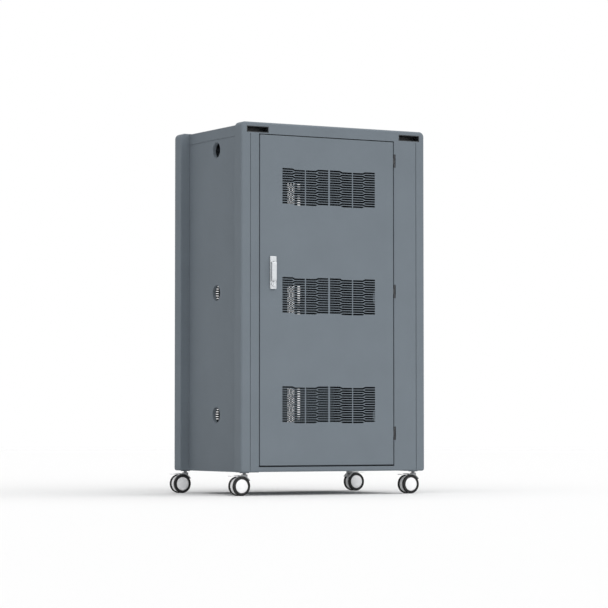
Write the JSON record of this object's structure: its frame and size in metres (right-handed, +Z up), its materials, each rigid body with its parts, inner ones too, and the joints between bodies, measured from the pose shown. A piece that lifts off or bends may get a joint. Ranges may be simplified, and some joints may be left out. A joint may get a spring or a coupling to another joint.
{
  "type": "charging cabinet",
  "caption": "Grey-blue sheet-steel charging cabinet on twin-wheel casters, with vented front and rear doors, a swing-handle lock, shelves and device racks",
  "frame": {"origin": "On the floor, under the middle of the cabinet.", "axes": "+Z up, the front door faces -Y, +X to the right as seen from the front."},
  "size_m": [0.7216, 0.487, 1.166],
  "materials": {
    "body_paint": "satin grey-blue powder coat",
    "inner_steel": "galvanised sheet",
    "dark_steel": "blackened steel",
    "satin_chrome": "satin chrome",
    "black_plastic": "moulded black plastic",
    "grey_plastic": "moulded grey plastic",
    "silver_plastic": "silver-grey moulding",
    "hub_plastic": "white moulding",
    "tyre_rubber": "black tread"
  },
  "bodies": {
    "cabinet": {"base_tray": "body_paint", "front_left_post": "body_paint", "rear_left_post": "body_paint", "front_right_post": "body_paint", "rear_right_post": "body_paint", "top_cap": "body_paint", "left_side_panel": "body_paint", "right_side_panel": "body_paint", "front_lock_strip": "body_paint", "front_hinge_strip": "body_paint", "rear_lock_strip": "body_paint", "rear_hinge_strip": "body_paint", "front_low_hinge_bracket": "dark_steel", "front_low_hinge_pin": "dark_steel", "front_middle_hinge_bracket": "dark_steel", "front_middle_hinge_pin": "dark_steel", "front_top_hinge_bracket": "dark_steel", "front_top_hinge_pin": "dark_steel", "rear_low_hinge_bracket": "dark_steel", "rear_low_hinge_pin": "dark_steel", "rear_top_hinge_bracket": "dark_steel", "rear_top_hinge_pin": "dark_steel", "lower_shelf": "inner_steel", "upper_shelf": "inner_steel", "low_rack": "grey_plastic", "middle_rack": "grey_plastic", "top_rack": "grey_plastic", "left_hand_grip": "black_plastic", "right_hand_grip": "black_plastic", "mains_inlet": "black_plastic", "low_charging_strip": "black_plastic", "middle_charging_strip": "black_plastic", "top_charging_strip": "black_plastic"},
    "front_door": {"front_door": "body_paint", "lock_plate": "satin_chrome"},
    "lock_spindle": {"lock_spindle": "dark_steel"},
    "lock_lever": {"lock_lever": "satin_chrome"},
    "lock_cylinder": {"lock_cylinder": "satin_chrome"},
    "rear_door": {"rear_door": "body_paint"},
    "rear_lock": {"rear_lock": "dark_steel"},
    "front_left_caster": {"front_left_caster_hood": "silver_plastic"},
    "front_left_wheels": {"front_left_wheel_hubs": "hub_plastic", "front_left_front_tyre": "tyre_rubber", "front_left_rear_tyre": "tyre_rubber"},
    "front_left_brake": {"front_left_brake_pedal": "hub_plastic"},
    "front_right_caster": {"front_right_caster_hood": "silver_plastic"},
    "front_right_wheels": {"front_right_wheel_hubs": "hub_plastic", "front_right_front_tyre": "tyre_rubber", "front_right_rear_tyre": "tyre_rubber"},
    "front_right_brake": {"front_right_brake_pedal": "hub_plastic"},
    "rear_left_caster": {"rear_left_caster_hood": "silver_plastic"},
    "rear_left_wheels": {"rear_left_wheel_hubs": "hub_plastic", "rear_left_front_tyre": "tyre_rubber", "rear_left_rear_tyre": "tyre_rubber"},
    "rear_left_brake": {"rear_left_brake_pedal": "hub_plastic"},
    "rear_right_caster": {"rear_right_caster_hood": "silver_plastic"},
    "rear_right_wheels": {"rear_right_wheel_hubs": "hub_plastic", "rear_right_front_tyre": "tyre_rubber", "rear_right_rear_tyre": "tyre_rubber"},
    "rear_right_brake": {"rear_right_brake_pedal": "hub_plastic"}
  },
  "joints": [
    {"name": "front_door_swing", "type": "hinge", "parent": "cabinet", "child": "front_door", "pos_m": [0.2223, -0.229, 0.61], "axis": [0, 0, 1], "range_deg": [0, 105]},
    {"name": "rear_door_swing", "type": "hinge", "parent": "cabinet", "child": "rear_door", "pos_m": [0.2738, 0.229, 0.61], "axis": [0, 0, -1], "range_deg": [0, 105]},
    {"name": "lock_handle_turn", "type": "hinge", "parent": "front_door", "child": "lock_spindle", "pos_m": [-0.2235, -0.2368, 0.72575], "axis": [0, 1, 0], "range_deg": [0, 90]},
    {"name": "lock_lever_lift", "type": "hinge", "parent": "lock_spindle", "child": "lock_lever", "pos_m": [-0.2235, -0.2405, 0.72575], "axis": [-1, 0, 0], "range_deg": [0, 30]},
    {"name": "lock_key_turn", "type": "hinge", "parent": "front_door", "child": "lock_cylinder", "pos_m": [-0.2235, -0.2368, 0.66045], "axis": [0, 1, 0], "range_deg": [0, 90]},
    {"name": "rear_lock_turn", "type": "hinge", "parent": "rear_door", "child": "rear_lock", "pos_m": [-0.2235, 0.232, 0.69575], "axis": [0, 1, 0], "range_deg": [0, 90]},
    {"name": "front_left_swivel", "type": "hinge", "parent": "cabinet", "child": "front_left_caster", "pos_m": [-0.308, -0.203, 0.0724], "axis": [0, 0, 1], "continuous": true},
    {"name": "front_left_roll", "type": "hinge", "parent": "front_left_caster", "child": "front_left_wheels", "pos_m": [-0.326, -0.203, 0.03], "axis": [0, 1, 0], "continuous": true},
    {"name": "front_left_brake_press", "type": "hinge", "parent": "front_left_caster", "child": "front_left_brake", "pos_m": [-0.33562, -0.203, 0.06115], "axis": [0, -1, 0], "range_deg": [0, 12]},
    {"name": "front_right_swivel", "type": "hinge", "parent": "cabinet", "child": "front_right_caster", "pos_m": [0.308, -0.203, 0.0724], "axis": [0, 0, 1], "continuous": true},
    {"name": "front_right_roll", "type": "hinge", "parent": "front_right_caster", "child": "front_right_wheels", "pos_m": [0.29, -0.203, 0.03], "axis": [0, 1, 0], "continuous": true},
    {"name": "front_right_brake_press", "type": "hinge", "parent": "front_right_caster", "child": "front_right_brake", "pos_m": [0.28038, -0.203, 0.06115], "axis": [0, -1, 0], "range_deg": [0, 12]},
    {"name": "rear_left_swivel", "type": "hinge", "parent": "cabinet", "child": "rear_left_caster", "pos_m": [-0.308, 0.203, 0.0724], "axis": [0, 0, 1], "continuous": true},
    {"name": "rear_left_roll", "type": "hinge", "parent": "rear_left_caster", "child": "rear_left_wheels", "pos_m": [-0.326, 0.203, 0.03], "axis": [0, 1, 0], "continuous": true},
    {"name": "rear_left_brake_press", "type": "hinge", "parent": "rear_left_caster", "child": "rear_left_brake", "pos_m": [-0.33562, 0.203, 0.06115], "axis": [0, -1, 0], "range_deg": [0, 12]},
    {"name": "rear_right_swivel", "type": "hinge", "parent": "cabinet", "child": "rear_right_caster", "pos_m": [0.308, 0.203, 0.0724], "axis": [0, 0, 1], "continuous": true},
    {"name": "rear_right_roll", "type": "hinge", "parent": "rear_right_caster", "child": "rear_right_wheels", "pos_m": [0.326, 0.203, 0.03], "axis": [0, 1, 0], "continuous": true},
    {"name": "rear_right_brake_press", "type": "hinge", "parent": "rear_right_caster", "child": "rear_right_brake", "pos_m": [0.33562, 0.203, 0.06115], "axis": [0, 1, 0], "range_deg": [0, 12]}
  ]
}
